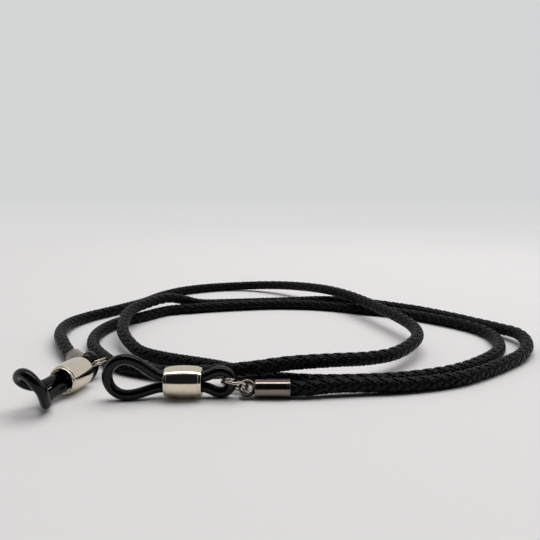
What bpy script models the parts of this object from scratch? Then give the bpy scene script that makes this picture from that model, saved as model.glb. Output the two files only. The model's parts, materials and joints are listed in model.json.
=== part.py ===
"""A retainer cord for glasses, at its real size, in metres, +Z up.

A thin braided cord ends in two metal caps. Each cap's eye holds a split ring, each ring
holds a rubber loop, and a metal slider bead closes the loop round a temple arm. The cord
lies loosely coiled on a surface at z = 0, with both fittings at its front.
"""

import math
from dataclasses import dataclass

import bmesh
import bpy
import numpy as np
from mathutils import Matrix, Vector

MM = 0.001

# Driving sizes
CORD_DIAMETER = 3.0 * MM
CORD_LEAD = 3.0 * MM
RUBBER_DIAMETER = 2.07 * MM

CAP_LENGTH = 6.9 * MM
CAP_WALL = 0.32 * MM
CAP_BORE_PLAY = 0.05 * MM
CAP_BORE_DEPTH = 5.4 * MM
CAP_MOUTH_ROUND = 0.12 * MM
CAP_SHOULDER_ROUND = 0.5 * MM
GLUE_THICKNESS = 0.6 * MM

EYE_WALL = 0.73 * MM
EYE_THICKNESS = 1.15 * MM
EYE_ROUND = 0.25 * MM
EYE_SINK = 0.25 * MM
EYE_PLAY = 0.34 * MM

RING_DIAMETER = 5.6 * MM
RING_WIRE = 0.6 * MM
RING_HEIGHT = 1.1 * MM
RING_ROUND = 0.16 * MM
RING_GROOVE = 0.1 * MM

BIG_LOOP_HEIGHT = 9.25 * MM
BIG_LOOP_LENGTH = 11.8 * MM
BIG_LOOP_LEAN = 1.4 * MM

BEAD_LENGTH = 7.2 * MM
BEAD_WALL = 0.65 * MM
BEAD_BULGE = 0.1 * MM
BEAD_ROUND = 0.3 * MM

# Clearances
TOUCH_GAP = 0.3 * MM
STRAND_GAP = 0.3 * MM
BEAD_PLAY = 0.28 * MM
BEAD_LIFT = 0.05 * MM
WIRE_PLAY = 0.2 * MM

# Sizes that follow from them
CORD_RADIUS = CORD_DIAMETER / 2
RUBBER_RADIUS = RUBBER_DIAMETER / 2
CAP_BORE_RADIUS = CORD_RADIUS + CAP_BORE_PLAY
CAP_RADIUS = CAP_BORE_RADIUS + CAP_WALL
CORD_END_RADIUS = CAP_BORE_RADIUS - TOUCH_GAP
CORD_END_LENGTH = CAP_BORE_DEPTH - GLUE_THICKNESS - 2 * TOUCH_GAP
WIRE_REACH = math.hypot(RING_WIRE, RING_HEIGHT) / 2
EYE_HOLE_RADIUS = WIRE_REACH + EYE_PLAY
EYE_RADIUS = EYE_HOLE_RADIUS + EYE_WALL
EYE_FROM_MOUTH = CAP_LENGTH + EYE_RADIUS - EYE_SINK
RING_RADIUS = (RING_DIAMETER - RING_WIRE) / 2
LIMB_TO_WIRE = RUBBER_RADIUS + WIRE_REACH + WIRE_PLAY
STRAND_OFFSET = RUBBER_RADIUS + STRAND_GAP / 2
BIG_LOOP_RADIUS = BIG_LOOP_HEIGHT / 2 - RUBBER_RADIUS
BEAD_BORE_RADIUS = STRAND_OFFSET + RUBBER_RADIUS + BEAD_PLAY
BEAD_RADIUS = BEAD_BORE_RADIUS + BEAD_WALL
LOOP_AXIS_HEIGHT = BEAD_RADIUS + BEAD_LIFT
SMALL_LOOP_RADIUS = LOOP_AXIS_HEIGHT - RUBBER_RADIUS

# Facets
CORD_STEPS = 98
ROUND_STEPS = 3
CAP_SIDES = 32
EYE_SIDES = 28
RING_SIDES = 36
BEAD_SIDES = 36
LOOP_ARC_POINTS = 11
LOOP_EASE_POINTS = 7
PAIR_STEPS = 4
SMOOTH_STEPS = 12
SWELL_STEPS = 3
SELF_GAP_SKIP = 3
GAP_STEP = 0.2
MERGE_DISTANCE = 0.001 * MM
SHARP_ANGLE = math.radians(35)

# The part's origin, in millimetres of the plan that the routes below are drawn in
PLAN_ORIGIN = (-21.208, 123.584)

# The cord's own points, in millimetres, from the right cap to the left one
CORD_ROUTE = (
    # Out of the right cap and round the near right bend
    (12.5, 119.4, 2.1), (19.6, 120.3, 1.9), (25.8, 121.0, 1.6), (37.6, 124.6, 1.5),
    (44.6, 129.0, 1.5), (52.5, 135.5, 1.5), (58.4, 141.5, 1.6), (62.2, 148.0, 2.1),
    (63.2, 155.5, 2.5), (61.0, 162.5, 2.1), (57.0, 171.5, 1.5), (46.0, 185.0, 1.5),
    # Along the far side to the inner left bend
    (40.4, 189.8, 1.5), (29.1, 197.5, 1.5), (22.9, 199.9, 1.5), (16.4, 200.4, 1.5),
    (3.0, 198.3, 1.5), (-10.0, 196.5, 1.5), (-16.5, 195.5, 1.5), (-22.4, 194.1, 1.9),
    (-27.4, 191.8, 3.6), (-31.0, 188.4, 4.9), (-35.9, 180.4, 5.1), (-38.8, 171.0, 5.0),
    (-37.4, 155.4, 3.9), (-33.8, 147.2, 2.7), (-29.8, 142.0, 1.9), (-23.2, 138.3, 1.5),
    # Along the near side and round the inner right bend
    (-10.8, 132.3, 1.5), (-4.2, 127.6, 1.5), (1.0, 125.1, 1.5), (6.5, 123.8, 1.5),
    (12.9, 123.4, 1.5), (26.5, 124.9, 1.5), (38.4, 129.4, 1.5), (46.2, 135.3, 1.5),
    (53.7, 144.0, 1.5), (57.0, 153.8, 1.5), (56.8, 161.8, 1.5), (52.8, 169.4, 1.5),
    # Back along the far side and round the middle left bend
    (38.9, 182.3, 1.5), (27.6, 187.8, 1.5), (15.8, 193.0, 1.5), (3.2, 194.6, 1.5),
    (-9.5, 192.8, 1.5), (-24.7, 188.6, 1.5), (-30.7, 186.3, 1.5), (-37.2, 178.2, 1.5),
    (-42.7, 170.8, 1.5), (-45.0, 161.5, 1.5), (-43.4, 149.9, 1.5), (-37.9, 139.4, 1.5),
    # Over the near strand and up the raised middle bend
    (-33.2, 133.7, 1.5), (-24.4, 128.9, 1.6), (-14.5, 125.9, 2.5), (-4.0, 122.9, 4.4),
    (3.8, 123.6, 5.25), (13.2, 127.0, 4.8), (21.1, 130.5, 4.1), (27.6, 134.8, 3.9),
    (34.9, 145.8, 4.2), (36.2, 155.5, 4.5), (31.3, 173.7, 4.95), (25.0, 190.4, 5.1),
    (19.6, 198.9, 5.15), (14.2, 206.6, 4.6), (9.3, 212.9, 3.9), (3.2, 218.7, 3.1),
    # Round the outer left bend to the left cap
    (-3.7, 222.9, 2.3), (-11.0, 224.7, 1.7), (-18.3, 223.7, 1.5), (-25.3, 220.6, 1.5),
    (-31.9, 215.4, 1.5), (-36.9, 207.6, 1.5), (-41.1, 196.5, 1.5),
    (-45.9, 188.5, 1.5), (-53.5, 176.4, 1.6), (-55.4, 168.0, 1.95), (-53.8, 157.0, 2.3),
    (-50.1, 148.0, 2.5),
)

# The left big loop lies twisted: millimetres ahead of the bead, to its left, and up
TWISTED_LOOP = (
    (2.4, -0.75, 4.1), (4.6, -0.9, 4.25), (6.4, -1.5, 4.6), (7.7, -2.3, 5.4),
    (8.5, -2.65, 6.45), (9.1, -2.0, 7.4), (9.6, -0.7, 7.9), (9.95, 0.9, 7.45),
    (9.85, 2.0, 6.2), (9.2, 2.5, 4.85), (8.0, 2.15, 2.9), (6.9, 1.6, 1.5),
    (5.8, 1.05, 1.1), (4.2, 0.5, 1.5), (2.0, 0.3, 1.85),
)


@dataclass(frozen=True)
class Fitting:
    """Where one end's pieces lie: plan places and lengths in millimetres, angles in degrees."""

    side: str
    mouth: tuple
    cap_heading: float
    ring_heading: float
    ring_rise: float
    ring_roll: float
    hook_turn: float
    loop_heading: float
    limb_slack: float
    bead_from_limb: float
    pair_turn: float
    twisted: bool


FITTINGS = (
    Fitting(
        side="right",
        mouth=(3.9, 118.5),
        cap_heading=180,
        ring_heading=180,
        ring_rise=16,
        ring_roll=23,
        hook_turn=0,
        loop_heading=180,
        limb_slack=0,
        bead_from_limb=5.76,
        pair_turn=0,
        twisted=False,
    ),
    Fitting(
        side="left",
        mouth=(-44.4, 138.5),
        cap_heading=-54,
        ring_heading=-33,
        ring_rise=23,
        ring_roll=0,
        hook_turn=-62,
        loop_heading=-105.7,
        limb_slack=0.15,
        bead_from_limb=4.6,
        pair_turn=45,
        twisted=True,
    ),
)


def planned(x, y, z=0.0):
    """A place in the routes' plan, as metres from the part's origin."""
    return Vector(((x - PLAN_ORIGIN[0]) * MM, (y - PLAN_ORIGIN[1]) * MM, z * MM))


def heading(degrees):
    """The level unit vector at this angle, turned from +X towards +Y."""
    angle = math.radians(degrees)
    return Vector((math.cos(angle), math.sin(angle), 0))


def frame(along, across, place):
    """A world matrix at place, with X along and Y as near to across as it can be."""
    x = along.normalized()
    z = x.cross(across).normalized()
    y = z.cross(x)
    turn = Matrix((x, y, z)).transposed()
    return Matrix.Translation(place) @ turn.to_4x4()


def mix(first, second, low, high, t):
    """The value at t on the line that is first at low and second at high."""
    return ((high - t) * first + (t - low) * second) / (high - low)


def smooth(points, closed=False):
    """Points along the centripetal Catmull-Rom curve through the given ones."""
    p = np.array([tuple(point) for point in points])
    if closed:
        p = np.vstack([p[-1:], p, p[:2]])
    else:
        p = np.vstack([2 * p[0] - p[1], p, 2 * p[-1] - p[-2]])
    chords = np.linalg.norm(np.diff(p, axis=0), axis=1)
    knots = np.concatenate([[0], np.cumsum(np.sqrt(chords))])
    made = []
    for i in range(1, len(p) - 2):
        a, b, c, d = p[i - 1 : i + 3]
        ka, kb, kc, kd = knots[i - 1 : i + 3]
        t = np.linspace(kb, kc, SMOOTH_STEPS, endpoint=False)[:, None]
        ab, bc, cd = mix(a, b, ka, kb, t), mix(b, c, kb, kc, t), mix(c, d, kc, kd, t)
        made.append(mix(mix(ab, bc, ka, kc, t), mix(bc, cd, kb, kd, t), kb, kc, t))
    if not closed:
        made.append(p[-2:-1])
    return np.vstack(made)


def evenly(path, count):
    """The given number of points at even steps along a path."""
    steps = np.linalg.norm(np.diff(path, axis=0), axis=1)
    along = np.concatenate([[0], np.cumsum(steps)])
    at = np.linspace(0, along[-1], count)
    return np.column_stack([np.interp(at, along, path[:, axis]) for axis in range(3)])


def least_gap(path, diameter, closed=False):
    """The least gap that a tube along these points leaves to itself, and its length."""
    ring = np.vstack([path, path[:1]]) if closed else path
    length = np.linalg.norm(np.diff(ring, axis=0), axis=1).sum()
    count = int(length / (diameter * GAP_STEP))
    fine = evenly(ring, count)
    first, second = np.indices((count, count))
    apart = np.abs(first - second)
    if closed:
        apart = np.minimum(apart, count - apart)
    distance = np.linalg.norm(fine[:, None] - fine[None], axis=2)
    return distance[apart > SELF_GAP_SKIP / GAP_STEP].min() - diameter, length


def tell(name, path, diameter, closed=False):
    gap, length = least_gap(path, diameter, closed)
    print(f"{name}: {length / MM:.1f} mm long, least gap to itself {gap / MM:.2f} mm")


def arc(centre, radius, start, end, steps=ROUND_STEPS):
    """Points (r, s) on an arc between two angles in degrees."""
    angles = [math.radians(start + (end - start) * i / steps) for i in range(steps + 1)]
    return [(centre[0] + radius * math.cos(a), centre[1] + radius * math.sin(a)) for a in angles]


def clear_scene():
    for obj in list(bpy.data.objects):
        bpy.data.objects.remove(obj, do_unlink=True)


def material(name, colour, roughness, metallic):
    """A Principled material of this sub-part's own."""
    made = bpy.data.materials.new(name)
    made.use_nodes = True
    shader = made.node_tree.nodes["Principled BSDF"]
    shader.inputs["Base Color"].default_value = (*colour, 1)
    shader.inputs["Roughness"].default_value = roughness
    shader.inputs["Metallic"].default_value = metallic
    made.diffuse_color = (*colour, 1)
    return made


def add(name, data, place, parent=None):
    """Links an object with this world matrix, under its parent."""
    obj = bpy.data.objects.new(name, data)
    bpy.context.scene.collection.objects.link(obj)
    obj.parent = parent
    bpy.context.view_layer.update()
    obj.matrix_world = place
    bpy.context.view_layer.update()
    return obj


def turned(name, profile, sides, closed, finish):
    """The solid that the profile's points (r, s) make when spun about the X axis."""
    shape = bmesh.new()
    points = [shape.verts.new((s, 0, r)) for r, s in profile]
    ends = zip(points, points[1:] + points[:1]) if closed else zip(points, points[1:])
    edges = [shape.edges.new(pair) for pair in ends]
    bmesh.ops.spin(
        shape,
        geom=points + edges,
        cent=(0, 0, 0),
        axis=(1, 0, 0),
        angle=2 * math.pi,
        steps=sides,
        use_merge=True,
    )
    bmesh.ops.remove_doubles(shape, verts=shape.verts[:], dist=MERGE_DISTANCE)
    bmesh.ops.recalc_face_normals(shape, faces=shape.faces[:])
    mesh = bpy.data.meshes.new(name)
    shape.to_mesh(mesh)
    shape.free()
    mesh.shade_smooth()
    mesh.set_sharp_from_angle(angle=SHARP_ANGLE)
    mesh.materials.append(finish)
    return mesh


def tube(name, points, diameter, closed, place, parent, finish):
    """A round tube along world points, as a bevelled poly curve."""
    curve = bpy.data.curves.new(name, "CURVE")
    curve.dimensions = "3D"
    curve.bevel_depth = diameter / 2
    curve.bevel_resolution = 2
    curve.use_fill_caps = not closed
    spline = curve.splines.new("POLY")
    spline.points.add(len(points) - 1)
    spline.use_cyclic_u = closed
    inward = place.inverted()
    for target, point in zip(spline.points, points):
        target.co = (*(inward @ Vector(point)), 1)
    curve.materials.append(finish)
    return add(name, curve, place, parent)


def tube_profile(inner, outer, length, rounding):
    """The closed outline of a tube of this length about s = 0, its outer corners rounded."""
    low, high = -length / 2 + rounding, length / 2 - rounding
    return [
        (inner, -length / 2),
        *arc((outer - rounding, low), rounding, -90, 0),
        *arc((outer - rounding, high), rounding, 0, 90),
        (inner, length / 2),
    ]


def cap_profile():
    """From the eye end's middle, down the outside to the mouth, and in to the bore's floor."""
    shoulder = CAP_SHOULDER_ROUND
    mouth = CAP_MOUTH_ROUND
    return [
        (0, CAP_LENGTH),
        *arc((CAP_RADIUS - shoulder, CAP_LENGTH - shoulder), shoulder, 90, 0),
        *arc((CAP_RADIUS - mouth, mouth), mouth, 0, -90),
        (CAP_BORE_RADIUS, 0),
        (CAP_BORE_RADIUS, CAP_BORE_DEPTH),
        (0, CAP_BORE_DEPTH),
    ]


def disc_profile(radius, start, length):
    return [(0, start), (radius, start), (radius, start + length), (0, start + length)]


def ring_profile():
    """Two turns of flat wire closed up as one section, with a groove where they meet."""
    inner, outer = RING_RADIUS - RING_WIRE / 2, RING_RADIUS + RING_WIRE / 2
    side, low = RING_ROUND, -RING_HEIGHT / 2 + RING_ROUND
    steps = ROUND_STEPS - 1
    return [
        *arc((outer - side, low), side, -90, 0, steps),
        (outer, -RING_GROOVE),
        (outer - RING_GROOVE, 0),
        (outer, RING_GROOVE),
        *arc((outer - side, -low), side, 0, 90, steps),
        *arc((inner + side, -low), side, 90, 180, steps),
        (inner, RING_GROOVE),
        (inner + RING_GROOVE, 0),
        (inner, -RING_GROOVE),
        *arc((inner + side, low), side, 180, 270, steps),
    ]


def bead_profile():
    """A barrel with a round bore, a little fuller at its middle, with flat end faces."""
    half, outer = BEAD_LENGTH / 2, BEAD_RADIUS - BEAD_BULGE
    swell = [
        (outer + BEAD_BULGE * math.cos(math.pi / 2 * k / SWELL_STEPS), k / SWELL_STEPS)
        for k in range(-SWELL_STEPS + 1, SWELL_STEPS)
    ]
    return [
        (BEAD_BORE_RADIUS, -half),
        *arc((outer - BEAD_ROUND, -half + BEAD_ROUND), BEAD_ROUND, -90, 0),
        *[(r, share * (half - BEAD_ROUND)) for r, share in swell],
        *arc((outer - BEAD_ROUND, half - BEAD_ROUND), BEAD_ROUND, 0, 90),
        (BEAD_BORE_RADIUS, half),
    ]


@dataclass(frozen=True)
class Layout:
    """The world frames of one end's pieces, each worked out from the one before."""

    cap: Matrix
    ring: Matrix
    loop: Matrix
    bead: Matrix
    limb: Vector
    hook_axis: Vector

    @classmethod
    def of(cls, fitting):
        mouth = planned(*fitting.mouth, CAP_RADIUS / MM)
        cap_way = heading(fitting.cap_heading)
        eye = mouth + EYE_FROM_MOUTH * cap_way

        level, left = heading(fitting.ring_heading), heading(fitting.ring_heading + 90)
        reach = Matrix.Rotation(math.radians(-fitting.ring_rise), 3, left) @ level
        wire_way = Matrix.Rotation(math.radians(fitting.ring_roll), 3, reach) @ left
        centre = eye + RING_RADIUS * reach

        turn = math.radians(fitting.hook_turn)
        hook = centre + RING_RADIUS * (math.cos(turn) * reach + math.sin(turn) * wire_way)
        loop_way = heading(fitting.loop_heading)
        loop_left = heading(fitting.loop_heading + 90)
        limb = hook - (LIMB_TO_WIRE + fitting.limb_slack * MM) * loop_way
        bead = limb + (fitting.bead_from_limb * MM + BEAD_LENGTH / 2) * loop_way
        bead.z = LOOP_AXIS_HEIGHT
        return cls(
            cap=frame(cap_way, wire_way, mouth),
            ring=frame(reach, wire_way, eye),
            loop=frame(loop_way, loop_left, hook),
            bead=frame(loop_way, loop_left, bead),
            limb=limb,
            hook_axis=math.cos(turn) * wire_way - math.sin(turn) * reach,
        )


def ease(start, end, share):
    """From start to end, level at both."""
    return start + (end - start) * (1 - math.cos(math.pi * share)) / 2


def small_loop_half(bead_from_limb):
    """The small loop's upper half (s, height over its axis), from the limb to the bead."""
    radius = SMALL_LOOP_RADIUS
    quarter = arc((radius, 0), radius, 180, 90, LOOP_ARC_POINTS // 2)
    shares = [k / LOOP_EASE_POINTS for k in range(1, LOOP_EASE_POINTS + 1)]
    run = bead_from_limb - radius
    return quarter + [(radius + run * k, ease(radius, STRAND_OFFSET, k)) for k in shares]


def pair_offset(pair_turn, share):
    """How far (t, z) the upper strand lies off the bead's axis, at this share of the bead."""
    angle = math.radians(pair_turn * share)
    return -STRAND_OFFSET * math.sin(angle), STRAND_OFFSET * math.cos(angle)


def open_big_loop(side, height):
    """The teardrop (s, t, z) ahead of the bead, from its upper strand round to its lower."""
    radius = BIG_LOOP_RADIUS
    centre = BIG_LOOP_LENGTH - RUBBER_RADIUS - radius
    upper, lower = [], []
    for k in range(LOOP_EASE_POINTS):
        share = k / LOOP_EASE_POINTS
        axis = ease(LOOP_AXIS_HEIGHT, BIG_LOOP_HEIGHT / 2, share)
        half = ease(height, radius, share)
        upper.append((centre * share, ease(side, BIG_LOOP_LEAN, share), axis + half))
        lower.append((centre * share, ease(-side, BIG_LOOP_LEAN, share), axis - half))
    tip = arc((centre, BIG_LOOP_HEIGHT / 2), radius, 90, -90, LOOP_ARC_POINTS)
    return [*upper, *[(s, BIG_LOOP_LEAN, z) for s, z in tip], *reversed(lower)]


def twisted_big_loop(side, height):
    """The big loop that lies twisted, as even points along the curve through its own."""
    ends = [(0, way * side, LOOP_AXIS_HEIGHT + way * height) for way in (1, -1)]
    points = [(s * MM, t * MM, max(z * MM, RUBBER_RADIUS)) for s, t, z in TWISTED_LOOP]
    path = smooth([ends[0], *points, ends[1]])
    path[:, 2] = np.maximum(path[:, 2], RUBBER_RADIUS)
    return evenly(path, 3 * LOOP_ARC_POINTS).tolist()


def rubber_points(fitting, layout):
    """World points round the closed rubber loop, from its limb over the top and back."""
    reach = fitting.bead_from_limb * MM
    half = small_loop_half(reach)
    upper = [(s, 0, LOOP_AXIS_HEIGHT + height) for s, height in half]
    lower = [(s, 0, LOOP_AXIS_HEIGHT - height) for s, height in reversed(half[1:])]
    into, out_of = [], []
    for k in range(1, PAIR_STEPS):
        share = k / PAIR_STEPS
        side, height = pair_offset(fitting.pair_turn, share)
        along = reach + BEAD_LENGTH * share
        into.append((along, side, LOOP_AXIS_HEIGHT + height))
        out_of.append((along, -side, LOOP_AXIS_HEIGHT - height))
    big_loop = twisted_big_loop if fitting.twisted else open_big_loop
    big = big_loop(*pair_offset(fitting.pair_turn, 1))
    ahead = [(reach + BEAD_LENGTH + s, t, z) for s, t, z in big]
    way, left = layout.loop.col[0].to_3d(), layout.loop.col[1].to_3d()
    points = []
    for s, t, z in [*upper, *into, *ahead, *reversed(out_of), *lower]:
        place = layout.limb + s * way + t * left
        points.append((place.x, place.y, z))
    return points


def build_cord(layouts, finish):
    """The free cord, square to each cap's mouth and straight for a short lead."""
    ends = []
    for layout in layouts:
        mouth, way = layout.cap.to_translation(), layout.cap.col[0].to_3d()
        square = mouth - TOUCH_GAP * way
        ends.append((square, square - CORD_LEAD * way))
    (start, first), (finish_at, last) = ends
    route = [planned(*point) for point in CORD_ROUTE]
    middle = evenly(smooth([first, *route, last]), CORD_STEPS - 2)
    path = np.vstack([start, middle, finish_at])
    path[:, 2] = np.maximum(path[:, 2], CORD_RADIUS)
    tube("cord", path, CORD_DIAMETER, False, Matrix(), None, finish)
    tell("cord", path, CORD_DIAMETER)


def build_cap(fitting, layout, finish):
    """The cap with its eye, as one casting, at the cord's end."""
    mesh = turned("cap", cap_profile(), CAP_SIDES, False, finish)
    cap = add(f"{fitting.side}_end_cap", mesh, layout.cap)
    profile = tube_profile(EYE_HOLE_RADIUS, EYE_RADIUS, EYE_THICKNESS, EYE_ROUND)
    eye_mesh = turned("eye", profile, EYE_SIDES, True, finish)
    eye_mesh.transform(Matrix.Rotation(math.pi / 2, 4, "Z"))
    eye_place = layout.cap @ Matrix.Translation((EYE_FROM_MOUTH, 0, 0))
    eye = add(f"{fitting.side}_eye_guide", eye_mesh, eye_place)
    eye.hide_render = True
    eye.display_type = "WIRE"
    join = cap.modifiers.new("eye", "BOOLEAN")
    join.operation = "UNION"
    join.object = eye


def build_cord_end(fitting, layout, finish):
    """The squeezed end of the cord that the cap holds."""
    profile = disc_profile(CORD_END_RADIUS, 0, CORD_END_LENGTH)
    mesh = turned("cord_end", profile, CAP_SIDES, False, finish)
    add(f"{fitting.side}_cord_end", mesh, layout.cap)


def build_glue(fitting, layout, finish):
    """The glue at the bottom of the cap's bore."""
    start = CORD_END_LENGTH + TOUCH_GAP
    profile = disc_profile(CORD_END_RADIUS, start, GLUE_THICKNESS)
    mesh = turned("glue", profile, CAP_SIDES, False, finish)
    add(f"{fitting.side}_glue_plug", mesh, layout.cap)


def build_ring(fitting, layout, finish):
    """The split ring, hung on the cap's eye, with its origin where the eye holds it."""
    mesh = turned("ring", ring_profile(), RING_SIDES, True, finish)
    upright = Matrix.Rotation(math.pi / 2, 4, "Y")
    mesh.transform(Matrix.Translation((RING_RADIUS, 0, 0)) @ upright)
    return add(f"{fitting.side}_split_ring", mesh, layout.ring)


def build_loop(fitting, layout, ring, rubber, metal):
    """The rubber loop, hooked in the ring, and the bead that slides on it."""
    hinge = add(f"{fitting.side}_loop_hinge", None, layout.loop, ring)
    points = rubber_points(fitting, layout)
    name = f"{fitting.side}_rubber_loop"
    tube(name, points, RUBBER_DIAMETER, True, layout.loop, hinge, rubber)
    mesh = turned("bead", bead_profile(), BEAD_SIDES, True, metal)
    add(f"{fitting.side}_slider_bead", mesh, layout.bead, hinge)
    tell(name, np.array(points), RUBBER_DIAMETER, closed=True)


def main():
    clear_scene()
    braid = material("braid", (0.012, 0.012, 0.014), 0.75, 0.0)
    rubber = material("rubber", (0.010, 0.010, 0.011), 0.35, 0.0)
    gunmetal = material("gunmetal", (0.24, 0.20, 0.17), 0.2, 1.0)
    nickel = material("nickel", (0.78, 0.71, 0.58), 0.14, 1.0)
    glue = material("glue", (0.80, 0.78, 0.70), 0.4, 0.0)

    layouts = [Layout.of(fitting) for fitting in FITTINGS]
    build_cord(layouts, braid)
    for fitting, layout in zip(FITTINGS, layouts):
        build_cap(fitting, layout, gunmetal)
        build_cord_end(fitting, layout, braid)
        build_glue(fitting, layout, glue)
        ring = build_ring(fitting, layout, gunmetal)
        build_loop(fitting, layout, ring, rubber, nickel)


main()
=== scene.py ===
"""The looks of a braided retainer cord for glasses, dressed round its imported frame.

The cord is a real braid: two sets of yarns wind opposite ways and pass over and under each
other. Each end has a turned cap with an eye, a two-turn split ring, a rubber loop and a
plated bead. Every shape is a surface worked out from a few sizes in millimetres.
"""

from __future__ import annotations

import json
import logging
import math
from dataclasses import dataclass
from enum import Enum

import bpy
import numpy as np
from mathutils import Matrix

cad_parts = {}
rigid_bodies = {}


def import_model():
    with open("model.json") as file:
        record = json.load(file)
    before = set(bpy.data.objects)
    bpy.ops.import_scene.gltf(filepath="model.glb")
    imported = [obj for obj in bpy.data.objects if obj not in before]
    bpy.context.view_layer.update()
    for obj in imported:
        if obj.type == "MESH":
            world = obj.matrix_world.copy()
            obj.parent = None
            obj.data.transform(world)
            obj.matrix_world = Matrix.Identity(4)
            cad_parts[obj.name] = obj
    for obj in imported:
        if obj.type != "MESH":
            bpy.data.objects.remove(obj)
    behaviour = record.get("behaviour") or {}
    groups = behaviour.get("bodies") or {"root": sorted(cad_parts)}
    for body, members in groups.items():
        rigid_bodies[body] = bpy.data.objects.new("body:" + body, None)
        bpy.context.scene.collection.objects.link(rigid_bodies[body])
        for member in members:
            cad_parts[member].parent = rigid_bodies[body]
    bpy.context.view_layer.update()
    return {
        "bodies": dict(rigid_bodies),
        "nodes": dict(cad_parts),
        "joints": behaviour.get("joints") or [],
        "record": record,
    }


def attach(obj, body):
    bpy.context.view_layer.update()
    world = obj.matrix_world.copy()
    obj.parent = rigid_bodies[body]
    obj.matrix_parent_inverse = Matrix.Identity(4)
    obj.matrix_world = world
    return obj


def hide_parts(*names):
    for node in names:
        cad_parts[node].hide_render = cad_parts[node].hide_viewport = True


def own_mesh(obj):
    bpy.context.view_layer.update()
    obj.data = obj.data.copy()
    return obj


Array = np.ndarray
Material = bpy.types.Material
Object = bpy.types.Object
Pair = tuple[float, float]
Triple = tuple[float, float, float]
Colour = Triple

MM = 0.001
UP = np.array((0.0, 0.0, 1.0))
# A direction that no strand runs along, to start a path's normals from
ASLANT = np.array((0.31, 0.52, 0.80))
CORD_BODY = "cord_and_caps"
IMAGE_SIZE = 540
SENSOR_MM = 36.0
log = logging.getLogger("retainer_cord")

# The part's origin in the plan that the route is drawn in, in millimetres
PLAN_ORIGIN = (-21.208, 123.584)

# The cord's own points, in metres on that plan, from the right cap to the left one
CORD_ROUTE = MM * np.array((
    (12.5, 119.4, 2.1), (19.6, 120.3, 1.9), (25.8, 121.0, 1.6), (37.6, 124.6, 1.5),
    (44.6, 129.0, 1.5), (52.5, 135.5, 1.5), (58.4, 141.5, 1.6), (62.2, 148.0, 2.1),
    (63.2, 155.5, 2.5), (61.0, 162.5, 2.1), (57.0, 171.5, 1.5), (46.0, 185.0, 1.5),
    (40.4, 189.8, 1.5), (29.1, 197.5, 1.5), (22.9, 199.9, 1.5), (16.4, 200.4, 1.5),
    (3.0, 198.3, 1.5), (-10.0, 196.5, 1.5), (-16.5, 195.5, 1.5), (-22.4, 194.1, 1.9),
    (-27.4, 191.8, 3.6), (-31.0, 188.4, 4.9), (-35.9, 180.4, 5.1), (-38.8, 171.0, 5.0),
    (-37.4, 155.4, 3.9), (-33.8, 147.2, 2.7), (-29.8, 142.0, 1.9), (-23.2, 138.3, 1.5),
    (-10.8, 132.3, 1.5), (-4.2, 127.6, 1.5), (1.0, 125.1, 1.5), (6.5, 123.8, 1.5),
    (12.9, 123.4, 1.5), (26.5, 124.9, 1.5), (38.4, 129.4, 1.5), (46.2, 135.3, 1.5),
    (53.7, 144.0, 1.5), (57.0, 153.8, 1.5), (56.8, 161.8, 1.5), (52.8, 169.4, 1.5),
    (38.9, 182.3, 1.5), (27.6, 187.8, 1.5), (15.8, 193.0, 1.5), (3.2, 194.6, 1.5),
    (-9.5, 192.8, 1.5), (-24.7, 188.6, 1.5), (-30.7, 186.3, 1.5), (-37.2, 178.2, 1.5),
    (-42.7, 170.8, 1.5), (-45.0, 161.5, 1.5), (-43.4, 149.9, 1.5), (-37.9, 139.4, 1.5),
    (-33.2, 133.7, 1.5), (-24.4, 128.9, 1.6), (-14.5, 125.9, 2.5), (-4.0, 122.9, 4.4),
    (3.8, 123.6, 5.25), (13.2, 127.0, 4.8), (21.1, 130.5, 4.1), (27.6, 134.8, 3.9),
    (34.9, 145.8, 4.2), (36.2, 155.5, 4.5), (31.3, 173.7, 4.95), (25.0, 190.4, 5.1),
    (19.6, 198.9, 5.15), (14.2, 206.6, 4.6), (9.3, 212.9, 3.9), (3.2, 218.7, 3.1),
    (-3.7, 222.9, 2.3), (-11.0, 224.7, 1.7), (-18.3, 223.7, 1.5), (-25.3, 220.6, 1.5),
    (-31.9, 215.4, 1.5), (-36.9, 207.6, 1.5), (-41.1, 196.5, 1.5), (-45.9, 188.5, 1.5),
    (-53.5, 176.4, 1.6), (-55.4, 168.0, 1.95), (-53.8, 157.0, 2.3), (-50.1, 148.0, 2.5),
))

# The left big loop lies twisted: metres ahead of the bead, to its left, and up
TWISTED_LOOP = MM * np.array((
    (2.4, -0.62, 3.98), (4.6, -0.68, 4.02), (6.4, -1.4, 4.5), (7.7, -2.3, 5.4),
    (8.5, -2.65, 6.45), (9.1, -2.0, 7.4), (9.6, -0.7, 7.9), (9.95, 0.9, 7.45),
    (9.85, 2.0, 6.2), (9.2, 2.5, 4.85), (8.0, 2.15, 2.9), (6.9, 1.6, 1.5),
    (5.8, 0.75, 1.42), (4.2, 0.2, 1.92), (2.0, 0.3, 2.05),
))


class Side(Enum):
    """Which end of the cord a fitting is on."""

    RIGHT = "right"
    LEFT = "left"


class Lay(Enum):
    """Which way a braid's yarns wind as the cord runs away from the right cap."""

    RIGHT_HAND = 1
    LEFT_HAND = -1


# Curves and surfaces


def unit(vectors: Array) -> Array:
    """The vectors at length one."""
    return vectors / np.linalg.norm(vectors, axis=-1, keepdims=True)


def along_path(path: Array) -> Array:
    """How far each point lies along the path."""
    steps = np.linalg.norm(np.diff(path, axis=0), axis=1)
    return np.concatenate([[0.0], np.cumsum(steps)])


def resample(path: Array, count: int) -> Array:
    """Points (count, 3) at even steps along the straight lines between a path's points."""
    along = along_path(path)
    at = np.linspace(0.0, along[-1], count)
    return np.column_stack([np.interp(at, along, path[:, axis]) for axis in range(3)])


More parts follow.
